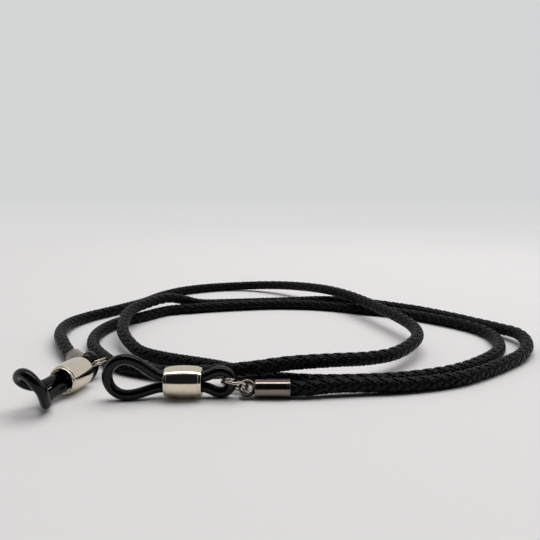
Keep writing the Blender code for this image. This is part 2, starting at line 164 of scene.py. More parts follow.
def catmull(points: Array, steps: int) -> Array:
    """A smooth curve through every point, in this many steps from one to the next.

    It is the centripetal Catmull-Rom spline: between knots, three straight mixes of
    neighbours are mixed again, and once more.
    """
    p = np.vstack([2 * points[0] - points[1], points, 2 * points[-1] - points[-2]])
    root_gaps = np.sqrt(np.linalg.norm(np.diff(p, axis=0), axis=1))
    knots = np.concatenate([[0.0], np.cumsum(root_gaps)])
    a, b, c, d = (p[i : len(p) - 3 + i, None] for i in range(4))
    ka, kb, kc, kd = (knots[i : len(knots) - 3 + i, None, None] for i in range(4))
    t = kb + (kc - kb) * np.arange(steps)[None, :, None] / steps

    def mix(first: Array, second: Array, low: Array, high: Array) -> Array:
        """The value at t on the line that is first at low and second at high."""
        return ((high - t) * first + (t - low) * second) / (high - low)

    ab, bc, cd = mix(a, b, ka, kb), mix(b, c, kb, kc), mix(c, d, kc, kd)
    curve = mix(mix(ab, bc, ka, kc), mix(bc, cd, kb, kd), kb, kc)
    return np.vstack([curve.reshape(-1, 3), points[-1:]])


def soften_ring(path: Array, reach: int) -> Array:
    """A closed path with each point moved to its neighbours' bell-shaped mean."""
    offsets = np.arange(-2 * reach, 2 * reach + 1)
    weights = np.exp(-0.5 * (offsets / reach) ** 2)
    moved = [w * np.roll(path, k, axis=0) for w, k in zip(weights / weights.sum(), offsets)]
    return np.sum(moved, axis=0)


def on_circle(angles: Array) -> Array:
    """The unit circle's points (n, 2) at these angles."""
    return np.column_stack([np.cos(angles), np.sin(angles)])


def bend(centre: Pair, radius: float, start: float, end: float, steps: int) -> Array:
    """Points (steps + 1, 2) on an arc between two angles in degrees."""
    return centre + radius * on_circle(np.radians(np.linspace(start, end, steps + 1)))


def ease(start: float, end: float, share: Array) -> Array:
    """From start to end as share goes from 0 to 1, level at both, along half a cosine."""
    return start + (end - start) * (1 - np.cos(math.pi * share)) / 2


def level_frames(path: Array) -> tuple[Array, Array]:
    """Level side and upward normal at each point of a path that lies about flat."""
    tangent = unit(np.gradient(path, axis=0))
    side = unit(np.cross(tangent, UP))
    return side, np.cross(side, tangent)


def carried_frames(path: Array) -> tuple[Array, Array]:
    """Two square normals at each point of a closed path, carried on without twist.

    Each normal is the last one with its part along the new tangent taken off. The turn
    left over after one round is then spread evenly over the whole path. The path's first
    point isn't repeated at its end.
    """
    tangent = unit(np.roll(path, -1, axis=0) - np.roll(path, 1, axis=0))
    carried = [unit(np.cross(tangent[0], ASLANT))]
    for way in np.vstack([tangent[1:], tangent[:1]]):
        carried.append(unit(carried[-1] - (carried[-1] @ way) * way))
    first, last = carried[0], carried.pop()
    normal = np.array(carried)
    binormal = np.cross(tangent, normal)
    left_over = math.atan2(last @ binormal[0], last @ first)
    turn = -left_over * np.arange(len(path))[:, None] / len(path)
    cosine, sine = np.cos(turn), np.sin(turn)
    return cosine * normal + sine * binormal, cosine * binormal - sine * normal


def grid_faces(rows: int, columns: int, ring_rows: bool, start: int = 0) -> Array:
    """Point indices (faces, 4) of a grid whose rows are sections, and closed rings.

    The last section meets the first if ring_rows is true. The grid's first point has the
    index start.
    """
    row = columns * np.arange(rows if ring_rows else rows - 1)[:, None]
    below = (row + columns) % (rows * columns)
    column = np.arange(columns)[None, :]
    across = (column + 1) % columns
    corners = (row + column, below + column, below + across, row + across)
    return start + np.stack(corners, axis=-1).reshape(-1, 4)


def lids(rows: int, columns: int, start: int = 0) -> Array:
    """The two many-sided faces that close a grid's first and last section."""
    ring = np.arange(columns)
    return start + np.stack([ring, (rows - 1) * columns + ring[::-1]])


def swept(path: Array, across: Array, outward: Array, section: Array) -> Array:
    """A section (columns, 2) carried along a path, as points (rows, columns, 3).

    The section's first number goes across and its second goes outward, two directions that
    are given for each point of the path.
    """
    first, second = section[:, :1], section[:, 1:]
    return path[:, None] + (first * across[:, None] + second * outward[:, None])


def disc_section(radius: float, sides: int) -> Array:
    """A circle's points (sides, 2)."""
    return radius * on_circle(2 * math.pi * np.arange(sides) / sides)


def volume(points: Array, faces: list[Array]) -> float:
    """Six times the space that closed faces hold, below zero where they face inwards."""
    total = 0.0
    for block in faces:
        corner = points[block]
        for k in range(1, block.shape[1] - 1):
            total += np.einsum("ij,ij->", corner[:, 0], np.cross(corner[:, k], corner[:, k + 1]))
    return total


@dataclass(frozen=True)
class Frame:
    """A place, and three square directions as rows."""

    origin: Array
    axes: Array

    @classmethod
    def towards(cls, origin: Array, along: Array, across: Array) -> Frame:
        """X along, and Y as near to across as it can be."""
        x = unit(along)
        z = unit(np.cross(x, across))
        return cls(origin, np.stack([x, np.cross(z, x), z]))

    def place(self, points: Array) -> Array:
        """World points of points given in this frame."""
        return self.origin + points @ self.axes

    def moved(self, along: float) -> Frame:
        """The same frame, moved along its own X."""
        return Frame(self.origin + along * self.axes[0], self.axes)


# Shader maths

# Where in a noise's range a tone or some wear comes in
BROAD_FADE = (0.35, 0.75)
UPPER_FADE = (0.4, 0.8)


class Value:
    """One output of a node, on which Python's arithmetic adds Math nodes."""

    def __init__(self, board: Board, node: bpy.types.Node, key: str | int = 0) -> None:
        """Notes the board, the node and the output's name or number."""
        self.board = board
        self.node = node
        self.key = key

    def output(self, key: str | int) -> Value:
        """Another output of the same node."""
        return Value(self.board, self.node, key)

    def math(self, operation: str, *others: Value | float) -> Value:
        """One Math node on this value and the others."""
        inputs = {k: v for k, v in enumerate((self, *others))}
        return self.board.node("ShaderNodeMath", {"operation": operation}, inputs)

    def __add__(self, other: Value | float) -> Value:
        """The sum."""
        return self.math("ADD", other)

    def __mul__(self, other: Value | float) -> Value:
        """The product."""
        return self.math("MULTIPLY", other)

    def __rsub__(self, other: float) -> Value:
        """A number less this value."""
        return (self * -1.0) + other

    __radd__ = __add__
    __rmul__ = __mul__

    def rise(self, low: float, high: float) -> Value:
        """From 0 at low to 1 at high, level at both."""
        settings = {"interpolation_type": "SMOOTHSTEP"}
        return self.board.node("ShaderNodeMapRange", settings, {0: self, 1: low, 2: high})


class Board:
    """A node tree, cleared, on which one method makes every node."""

    def __init__(self, tree: bpy.types.NodeTree) -> None:
        """Clears the tree."""
        self.tree = tree
        tree.nodes.clear()

    def node(self, kind: str, settings: dict | None = None, inputs: dict | None = None) -> Value:
        """The first output of a new node.

        Its own settings, such as an operation, are set first. The inputs are values or
        links by socket name or number.
        """
        node = self.tree.nodes.new(kind)
        for key, value in (settings or {}).items():
            setattr(node, key, value)
        for key, value in (inputs or {}).items():
            if isinstance(value, Value):
                self.tree.links.new(value.node.outputs[value.key], node.inputs[key])
            else:
                node.inputs[key].default_value = value
        return Value(self, node)

    def blend(self, share: Value | float, low: Colour | Value, high: Colour | Value) -> Value:
        """A colour between two, by share."""
        ends = [end if isinstance(end, Value) else (*end, 1.0) for end in (low, high)]
        inputs = {0: share, 6: ends[0], 7: ends[1]}
        return self.node("ShaderNodeMix", {"data_type": "RGBA"}, inputs).output(2)

    def spots(
        self, waves: float | Triple, detail: float, turn: float = 0.0, roughness: float = 0.5
    ) -> Value:
        """Noise on object coordinates, with its X turned about Z by some degrees.

        The waves are so many in a metre, or so many along X, Y and Z. Detail is how many
        finer layers are added, and roughness is how strong they are.
        """
        each = waves if isinstance(waves, tuple) else (waves,) * 3
        inputs = {
            "Vector": self.node("ShaderNodeTexCoord").output("Object"),
            "Rotation": (0.0, 0.0, math.radians(turn)),
            "Scale": tuple(1.0 / number for number in each),
        }
        turned = self.node("ShaderNodeMapping", {"vector_type": "TEXTURE"}, inputs)
        return self.noise(turned, detail, roughness)

    def noise(self, at: Value, detail: float, roughness: float = 0.5) -> Value:
        """Noise at a place."""
        inputs = {"Vector": at, "Scale": 1.0, "Detail": detail, "Roughness": roughness}
        return self.node("ShaderNodeTexNoise", {}, inputs)

    def bump(self, height: Value, distance: float) -> Value:
        """A normal that tips as the height changes, in metres of distance."""
        inputs = {"Height": height, "Distance": distance, "Strength": 1.0}
        return self.node("ShaderNodeBump", {}, inputs)

    def seen_rays(self) -> tuple[Value, Value]:
        """1 on rays from the camera, and 1 on those and on mirrored or bent ones."""
        camera = self.node("ShaderNodeLightPath").output("Is Camera Ray")
        seen = camera
        for kind in ("Is Glossy Ray", "Is Transmission Ray"):
            seen = seen.math("MAXIMUM", camera.output(kind))
        return camera, seen


@dataclass(frozen=True)
class Finish:
    """What every finish has: its name, colour and roughness."""

    name: str
    colour: Colour
    roughness: float

    def board(self) -> tuple[Material, Board]:
        """A new material and its empty board."""
        material = bpy.data.materials.new(self.name)
        material.use_nodes = True
        material.diffuse_color = (*self.colour, 1.0)
        return material, Board(material.node_tree)

    def looks(self, board: Board) -> dict:
        """The shader's inputs, which each kind of finish works out for itself."""
        raise NotImplementedError

    def material(self) -> Material:
        """A new material, with this finish's looks in a Principled shader."""
        material, board = self.board()
        shader = board.node("ShaderNodeBsdfPrincipled", {}, self.looks(board))
        board.node("ShaderNodeOutputMaterial", {}, {"Surface": shader})
        return material


@dataclass(frozen=True)
class Plate(Finish):
    """Polished plated metal with faint hairlines, smudges and dulled patches."""

    tint: Colour
    hairline: float
    grain_heading: float
    line_waves: Triple = (9000.0, 260.0, 260.0)
    haze_waves: float = 700.0
    speck_waves: float = 5200.0
    layers: float = 3.0
    line_strength: float = 0.65
    line_fade: Pair = (0.5, 0.8)
    speck_fade: Pair = (0.70, 0.78)
    speck_dent: float = 0.6
    haze_wear: float = 0.07
    line_wear: float = 0.08
    speck_wear: float = 0.2

    def looks(self, board: Board) -> dict:
        """The shader's inputs: hairlines run round the piece, and haze wanders over it."""
        lines = board.spots(self.line_waves, self.layers, self.grain_heading, self.line_strength)
        haze = board.spots(self.haze_waves, self.layers, self.grain_heading)
        specks = board.spots(self.speck_waves, detail=1.0).rise(*self.speck_fade)
        tone = board.blend(haze.rise(*BROAD_FADE), self.colour, self.tint)
        worn = haze.rise(*UPPER_FADE) * self.haze_wear
        worn += lines.rise(*self.line_fade) * self.line_wear
        worn += specks * self.speck_wear
        normal = board.bump(lines + specks * -self.speck_dent, self.hairline)
        rough = self.roughness + worn
        return {"Base Color": tone, "Metallic": 1.0, "Roughness": rough, "Normal": normal}


@dataclass(frozen=True)
class MouldedRubber(Finish):
    """Glossy black rubber with a faint orange-peel skin and a little dust."""

    dust: Colour
    gloss: float
    skin_waves: float = 1500.0
    skin_depth: float = 0.012 * MM
    haze_waves: float = 260.0
    dust_waves: float = 3800.0
    dust_fade: Pair = (0.76, 0.82)
    dust_share: float = 0.6
    haze_wear: float = 0.06
    dust_wear: float = 0.3

    def looks(self, board: Board) -> dict:
        """The shader's inputs."""
        skin = board.spots(self.skin_waves, detail=2.0)
        haze = board.spots(self.haze_waves, detail=3.0).rise(*BROAD_FADE)
        specks = board.spots(self.dust_waves, detail=0.0).rise(*self.dust_fade)
        tone = board.blend(specks * self.dust_share, self.colour, self.dust)
        rough = self.roughness + haze * self.haze_wear + specks * self.dust_wear
        inputs = {"Roughness": rough, "Normal": board.bump(skin, self.skin_depth)}
        return {"Base Color": tone, "Specular IOR Level": self.gloss, **inputs}


@dataclass(frozen=True)
class Yarn(Finish):
    """Twisted filament yarn: fine fibres along it, and a tone that wanders."""

    pale: Colour
    gloss: float
    fibre_depth: float = 0.02 * MM
    uv_map: str = "yarn"
    fibre_waves: Triple = (0.55, 17.0, 1.0)
    fibre_layers: float = 2.5
    wander_waves: float = 420.0
    fibre_share: float = 0.6
    wander_share: float = 0.4
    fibre_wear: float = 0.16

    def looks(self, board: Board) -> dict:
        """The shader's inputs: fibres run along the yarn's own UV map."""
        uv = board.node("ShaderNodeUVMap", {"uv_map": self.uv_map})
        inputs = {"Vector": uv, "Scale": self.fibre_waves}
        stretched = board.node("ShaderNodeMapping", {}, inputs)
        fibres = board.noise(stretched, self.fibre_layers)
        wander = board.spots(self.wander_waves, detail=2.0).rise(*UPPER_FADE)
        share = fibres.rise(*BROAD_FADE) * self.fibre_share + wander * self.wander_share
        tone = board.blend(share, self.colour, self.pale)
        rough = self.roughness + fibres * self.fibre_wear
        inputs = {"Roughness": rough, "Normal": board.bump(fibres, self.fibre_depth)}
        return {"Base Color": tone, "Specular IOR Level": self.gloss, **inputs}


@dataclass(frozen=True)
class Adhesive(Finish):
    """Set amber glue, with a few bubbles."""

    bubble_tone: Colour = (0.9, 0.86, 0.74)
    bubble_waves: float = 2600.0
    bubble_fade: Pair = (0.62, 0.7)
    bubble_wear: float = 0.2

    def looks(self, board: Board) -> dict:
        """The shader's inputs."""
        bubbles = board.spots(self.bubble_waves, detail=0.0).rise(*self.bubble_fade)
        tone = board.blend(bubbles, self.colour, self.bubble_tone)
        return {"Base Color": tone, "Roughness": bubbles * self.bubble_wear + self.roughness}


# Each plated metal's colour, roughness, worn tint and hairline depth in metres
METALS: dict[str, tuple[Colour, float, Colour, float]] = {
    "gunmetal": ((0.225, 0.185, 0.160), 0.11, (0.19, 0.16, 0.15), 0.005 * MM),
    "steel": ((0.50, 0.45, 0.39), 0.10, (0.44, 0.40, 0.35), 0.003 * MM),
    "nickel": ((0.73, 0.665, 0.55), 0.06, (0.69, 0.63, 0.52), 0.002 * MM),
}
YARN = Yarn("yarn", (0.0007, 0.0007, 0.0006), 0.27, pale=(0.0035, 0.0034, 0.003), gloss=0.115)
CORE = MouldedRubber("cord_core", (0.001,) * 3, 0.9, dust=(0.002,) * 3, gloss=0.05)
RUBBER = MouldedRubber("rubber", (0.0015, 0.0015, 0.0017), 0.045, dust=(0.03,) * 3, gloss=0.22)
GLUE = Adhesive("glue", (0.62, 0.46, 0.20), 0.2)


# Making objects


def add_object(name: str, data: bpy.types.ID) -> Object:
    """A new object of this data, linked to the scene."""
    made = bpy.data.objects.new(name, data)
    bpy.context.scene.collection.objects.link(made)
    return made


def make_piece(
    name: str,
    points: Array,
    faces: list[Array],
    material: Material,
    uv: Array | None = None,
    sharp: float | None = None,
) -> Object:
    """A smooth closed mesh object at the origin, its faces turned outwards.

    The points (n, 3) are in the world, and each block of faces holds point indices
    (faces, corners). The UV has two numbers for each point. Edges sharper than the angle
    sharp, in degrees, stay sharp.
    """
    if volume(points, faces) < 0:
        faces = [block[:, ::-1] for block in faces]
    corners = np.concatenate([block.ravel() for block in faces]).astype(np.int32)
    sizes = np.concatenate([np.full(len(block), block.shape[1]) for block in faces])
    mesh = bpy.data.meshes.new(name)
    mesh.vertices.add(len(points))
    mesh.vertices.foreach_set("co", points.astype(np.float32).ravel())
    mesh.loops.add(len(corners))
    mesh.loops.foreach_set("vertex_index", corners)
    mesh.polygons.add(len(sizes))
    mesh.polygons.foreach_set("loop_start", (np.cumsum(sizes) - sizes).astype(np.int32))
    if uv is not None:
        layer = mesh.uv_layers.new(name=Yarn.uv_map)
        layer.data.foreach_set("uv", uv[corners].astype(np.float32).ravel())
    mesh.update(calc_edges=True)
    mesh.validate()
    mesh.shade_smooth()
    if sharp is not None:
        mesh.set_sharp_from_angle(angle=math.radians(sharp))
    mesh.materials.append(material)
    return add_object(name, mesh)


def tube_piece(name: str, grid: Array, material: Material, sharp: float | None = None) -> Object:
    """A tube from its sections' points (rows, columns, 3), with a lid on each end."""
    faces = [grid_faces(*grid.shape[:2], False), lids(*grid.shape[:2])]
    return make_piece(name, grid.reshape(-1, 3), faces, material, sharp=sharp)


def turned_piece(
    name: str, frame: Frame, profile: Array, sides: int, material: Material, sharp: float
) -> Object:
    """A closed profile (radius, along) turned about the frame's X axis."""
    radius, along = profile.T
    across, up = (radius * turn[:, None] for turn in disc_section(1.0, sides).T)
    local = np.stack([np.broadcast_to(along, up.shape), across, up], axis=-1)
    points = frame.place(local.reshape(-1, 3))
    return make_piece(name, points, [grid_faces(sides, len(profile), True)], material, sharp=sharp)


def seat(piece: Object, body: str, slot: str, *nodes: str) -> None:
    """Rides a piece on its body and hides the nodes that it stands for. The slot is not used."""
    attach(piece, body)
    if nodes:
        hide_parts(*nodes)
    log.info("%s rides on %s: %d faces", piece.name, body, len(piece.data.polygons))


# Sizes and layout of one fitting


@dataclass(frozen=True)
class Sizes:
    """The real sizes that the pieces share, in metres.

    The eye's and the limb's places have more digits, because the solids add them up.
    """

    cord_radius: float = 1.5 * MM
    rubber_radius: float = 1.035 * MM
    cap_radius: float = 1.87 * MM
    cap_bore: float = 1.55 * MM
    cap_length: float = 6.9 * MM
    eye_from_mouth: float = 8.346504 * MM
    eye_hole: float = 1.0 * MM
    eye_radius: float = 1.66 * MM
    eye_thickness: float = 1.6 * MM
    ring_radius: float = 2.5 * MM
    limb_to_wire: float = 1.861498 * MM
    strand_offset: float = 1.05 * MM
    axis_height: float = 3.2 * MM
    small_radius: float = 2.165 * MM
    big_height: float = 9.25 * MM
    big_length: float = 11.8 * MM
    big_lean: float = 1.4 * MM
    bead_length: float = 7.2 * MM
    bead_radius: float = 3.15 * MM


SIZES = Sizes()


@dataclass(frozen=True)
class Fitting:
    """Where one end's pieces lie: plan places and lengths in metres, angles in degrees."""

    side: Side
    mouth: Pair
    cap_heading: float
    ring_heading: float
    ring_rise: float
    eye_roll: float
    loop_heading: float
    bead_from_limb: float
    straight_behind: float
    squeeze_way: Pair
    squeeze_keep: float
    squeeze_drop: float = 0.0
    ring_roll: float = 0.0
    hook_turn: float = 0.0
    limb_slack: float = 0.0
    pair_turn: float = 0.0
    twisted: bool = False


FITTINGS = (
    Fitting(
        side=Side.RIGHT,
        mouth=(3.9 * MM, 118.5 * MM),
        cap_heading=180,
        ring_heading=180,
        ring_rise=17.5,
        ring_roll=30,
        eye_roll=44,
        loop_heading=180,
        bead_from_limb=5.76 * MM,
        straight_behind=0.1 * MM,
        squeeze_way=(0.0, 1.0),
        squeeze_drop=0.4 * MM,
        squeeze_keep=0.3,
    ),
    Fitting(
        side=Side.LEFT,
        mouth=(-44.4 * MM, 138.5 * MM),
        cap_heading=-54,
        ring_heading=-33,
        ring_rise=23,
        eye_roll=20,
        hook_turn=-62,
        loop_heading=-105.7,
        limb_slack=0.15 * MM,
        bead_from_limb=4.6 * MM,
        straight_behind=0.7 * MM,
        pair_turn=45,
        twisted=True,
        squeeze_way=(-0.78, 0.62),
        squeeze_keep=0.25,
    ),
)


def planned(points: Array) -> Array:
    """Plan points as points of the part's own frame."""
    return points - MM * np.array((*PLAN_ORIGIN, 0.0))


def level(degrees: float) -> Array:
    """The level direction at this angle, turned from X towards Y."""
    angle = math.radians(degrees)
    return np.array((math.cos(angle), math.sin(angle), 0.0))


def spun(vector: Array, axis: Array, degrees: float) -> Array:
    """The vector turned about an axis that is square to it."""
    angle = math.radians(degrees)
    return math.cos(angle) * vector + math.sin(angle) * np.cross(axis, vector)


@dataclass(frozen=True)
class Layout:
    """The frames of one end's pieces, each worked out from the one before."""

    cap: Frame
    ring: Frame
    rubber: Frame
    bead: Frame

    @classmethod
    def of(cls, fitting: Fitting) -> Layout:
        """Works out from the cap's mouth to the bead, as the solids do."""
        mouth = planned(np.array((*fitting.mouth, SIZES.cap_radius)))
        cap_way = level(fitting.cap_heading)
        eye = mouth + SIZES.eye_from_mouth * cap_way
        left = level(fitting.ring_heading + 90)
        reach = spun(level(fitting.ring_heading), left, -fitting.ring_rise)
        wire_way = spun(left, reach, fitting.ring_roll)
        hole_way = spun(level(fitting.cap_heading + 90), cap_way, fitting.eye_roll)
        turn = math.radians(fitting.hook_turn)
        centre = eye + SIZES.ring_radius * reach
        hook = centre + SIZES.ring_radius * (math.cos(turn) * reach + math.sin(turn) * wire_way)
        way, across = level(fitting.loop_heading), level(fitting.loop_heading + 90)
        limb = hook - (SIZES.limb_to_wire + fitting.limb_slack) * way
        floor_under_limb = limb * (1, 1, 0)
        bead = floor_under_limb + (fitting.bead_from_limb + SIZES.bead_length / 2) * way
        bead = bead + SIZES.axis_height * UP
        return cls(
            cap=Frame.towards(mouth, cap_way, hole_way),
            ring=Frame.towards(centre, reach, wire_way),
            rubber=Frame.towards(floor_under_limb, way, across),
            bead=Frame.towards(bead, way, across),
        )


# The object's own pieces


@dataclass(frozen=True)
class BraidedCord:
    """The free cord: a core tube, and two sets of yarns that cross over and under."""

    yarns_each_way: int = 4
    pitch: float = 11.6 * MM
    middle_radius: float = 1.10 * MM
    wave: float = 0.18 * MM
    strand_apart: float = 0.64 * MM
    strand_breadth: float = 0.72 * MM
    strand_depth: float = 0.46 * MM
    strand_points: int = 8
    strand_arc: float = 138.0
    over_ease: float = 0.12
    first_column: float = 60.0
    uv_apart: Pair = (37.0, 3.0)
    core_radius: float = 1.07 * MM
    core_sides: int = 14
    route_steps: int = 12
    station_step: float = 0.32 * MM
    into_cap: float = 0.7 * MM
    mouth_gap: float = 0.3 * MM
    lead: float = 3.0 * MM

    def centreline(self, layouts: tuple[Layout, Layout]) -> Array:
        """The cord's smooth middle line, straight and square into each cap."""
        outside = -self.mouth_gap - self.lead
        start, end = (layout.cap.moved(self.into_cap).origin for layout in layouts)
        first, last = (layout.cap.moved(outside).origin for layout in layouts)
        free = catmull(np.vstack([first, planned(CORD_ROUTE), last]), self.route_steps)
        path = np.vstack([start, free, end])
        path[:, 2] = np.maximum(path[:, 2], SIZES.cord_radius)
        count = int(along_path(path)[-1] / self.station_step)
        return resample(path, count)

    def yarn(
        self, path: Array, frames: tuple[Array, Array], lay: Lay, index: int
    ) -> tuple[Array, Array]:
        """One yarn's points (n, columns, 3), and its UV in millimetres along and shares across.

        The yarn winds round the cord's middle line once in a pitch. It lies outside where
        the cosine of four times its angle is high for one set of yarns, and inside there for
        the other. Its section is two round strands side by side, and it lies flat on the
        floor. The frames are the path's level sides and upward normals.
        """
        along = along_path(path)
        count = self.yarns_each_way
        angle = 2 * math.pi * (lay.value * along / self.pitch + index / count)
        swing = np.cos(count * angle)
        swing = lay.value * swing / np.sqrt(swing**2 + self.over_ease)
        radius = (self.middle_radius + self.wave * swing)[:, None]
        side, normal = frames
        heading = (angle + math.radians(self.first_column))[:, None]
        outward = np.cos(heading) * side + np.sin(heading) * normal
        centre = path + radius * outward
        tangent = unit(np.gradient(centre, axis=0))
        outward = unit(outward - np.sum(outward * tangent, axis=1, keepdims=True) * tangent)
        section = self.section()
        points = swept(centre, np.cross(tangent, outward), outward, section)
        points[..., 2] = np.maximum(points[..., 2], 0.0)
        length_apart, share_apart = self.uv_apart
        length = (along / MM + length_apart * index)[:, None]
        share = np.arange(len(section)) / len(section) + share_apart * index
        return points, np.stack(np.broadcast_arrays(length, share), axis=-1)

    def section(self) -> Array:
        """Two round strands side by side (across, outward), with a crease between them."""
        angles = np.radians(np.linspace(-self.strand_arc, self.strand_arc, self.strand_points))
        half = (self.strand_breadth / 2, self.strand_depth / 2)
        one = (self.strand_apart / 2, 0.0) + half * on_circle(angles)
        return np.vstack([one, -one])

    def build(self, layouts: tuple[Layout, Layout], yarn: Material, core: Material) -> None:
        path = self.centreline(layouts)
        frames = level_frames(path)
        for lay in Lay:
            for half in range(2):
                chosen = range(half, self.yarns_each_way, 2)
                made = [self.yarn(path, frames, lay, index) for index in chosen]
                rows, columns = made[0][0].shape[:2]
                starts = [k * rows * columns for k in range(len(made))]
                faces = [grid_faces(rows, columns, False, start) for start in starts]
                faces += [lids(rows, columns, start) for start in starts]
                points = np.concatenate([grid.reshape(-1, 3) for grid, _ in made])
                uv = np.concatenate([grid.reshape(-1, 2) for _, grid in made])
                name = f"cord_yarns_{lay.name.lower()}_{half + 1}"
                piece = make_piece(name, points, faces, yarn, uv)
                seat(piece, CORD_BODY, "braid")
        coarse = resample(path, len(path) // 2)
        circle = disc_section(self.core_radius, self.core_sides)
        grid = swept(coarse, *level_frames(coarse), circle)
        tube = tube_piece("cord_core", grid, core)
        seat(tube, CORD_BODY, "braid", "cord")
        log.info("the cord is %.1f mm long", along_path(path)[-1] / MM)


@dataclass(frozen=True)
class EndCap:
    """A turned cap with a rolled mouth, and the eye cast on its closed end."""

    side: Side
    frame: Frame
    mouth_roll: float = 0.13 * MM
    lip_height: float = 0.05 * MM
    lip_length: float = 0.42 * MM
    shoulder: float = 0.32 * MM
    bore_depth: float = 5.4 * MM
    neck_radius: float = 0.82 * MM
    neck_flare: float = 0.35 * MM
    mouth_steps: int = 5
    lip_steps: int = 6
    shoulder_steps: int = 8
    eye_step: int = 15
    eye_power: float = 0.55
    sides: int = 96
    sharp: float = 40.0

    def shell_profile(self) -> Array:
        """(radius, along): out of the bore, round the mouth's lip, and down to the neck."""
        outer, bore, length = SIZES.cap_radius, SIZES.cap_bore, SIZES.cap_length
        lip, roll, fall, flare = self.lip_height, self.mouth_roll, self.shoulder, self.neck_flare
        low = outer - lip
        return np.vstack([
            (0.0, self.bore_depth),
            (bore, self.bore_depth),
            bend((bore + roll, roll), roll, 180, 270, self.mouth_steps),
            bend((outer - roll, roll), roll, 270, 360, self.lip_steps),
            (outer, self.lip_length),
            (low, self.lip_length + lip),
            bend((low - fall, length - fall), fall, 0, 90, self.shoulder_steps),
            bend((self.neck_radius + flare, length + flare), flare, 270, 180, self.lip_steps),
            (0.0, length + flare),
        ])

    def eye_profile(self) -> Array:
        """(radius, along): the eye's ring, round on its outside and eased at its hole."""
        middle = (SIZES.eye_radius + SIZES.eye_hole) / 2
        half = ((SIZES.eye_radius - SIZES.eye_hole) / 2, SIZES.eye_thickness / 2)
        way = on_circle(np.radians(np.arange(0, 360, self.eye_step)))
        return (middle, 0.0) + half * np.sign(way) * np.abs(way) ** self.eye_power

    def build(self, material: Material) -> None:
        """Makes the shell and the eye, which is turned about the hole's own way."""
        centre = self.frame.moved(SIZES.eye_from_mouth)
        across = Frame(centre.origin, np.roll(centre.axes, -1, axis=0))
        name = self.side.value
        for part, frame, profile in (
            ("shell", self.frame, self.shell_profile()),
            ("eye", across, self.eye_profile()),
        ):
            part_name = f"{name}_cap_{part}"
            piece = turned_piece(part_name, frame, profile, self.sides, material, self.sharp)
            seat(piece, CORD_BODY, "gunmetal", f"{name}_end_cap")


@dataclass(frozen=True)
class SplitRing:
    """Two turns of flat wire that lie on each other, with a short jog between them."""

    side: Side
    frame: Frame
    wire_breadth: float = 0.6 * MM
    wire_height: float = 0.56 * MM
    turn_offset: float = 0.285 * MM
    jog_degrees: float = 38.0
    jog_heading: float = 118.0
    corner: float = 0.25 * MM
    corner_steps: int = 5
    stations: int = 260
    sharp: float = 50.0

    def section(self) -> Array:
        """The wire's section (outward, over), a rectangle with round corners."""
        out = self.wire_breadth / 2 - self.corner
        over = self.wire_height / 2 - self.corner
        centres = ((out, over), (-out, over), (-out, -over), (out, -over))
        return np.vstack([
            bend(centre, self.corner, 90 * k, 90 * k + 90, self.corner_steps)
            for k, centre in enumerate(centres)
        ])

    def build(self, material: Material) -> None:
        """Carries the wire round twice: it climbs to the upper turn in the jog."""
        jog = math.radians(self.jog_degrees)
        angle = np.linspace(0, 4 * math.pi - jog, self.stations)
        climb = np.clip((angle - (2 * math.pi - jog)) / jog, 0, 1)
        height = ease(-self.turn_offset, self.turn_offset, climb)
        heading = angle + math.radians(self.jog_heading)
        out = np.insert(on_circle(heading), 2, 0.0, axis=1)
        local = SIZES.ring_radius * out + height[:, None] * UP
        over = np.broadcast_to(UP, local.shape)
        grid = self.frame.place(swept(local, out, over, self.section()))
        name = self.side.value
        ring = tube_piece(f"{name}_ring_wire", grid, material, self.sharp)
        seat(ring, f"{name}_ring", "gunmetal", f"{name}_split_ring")


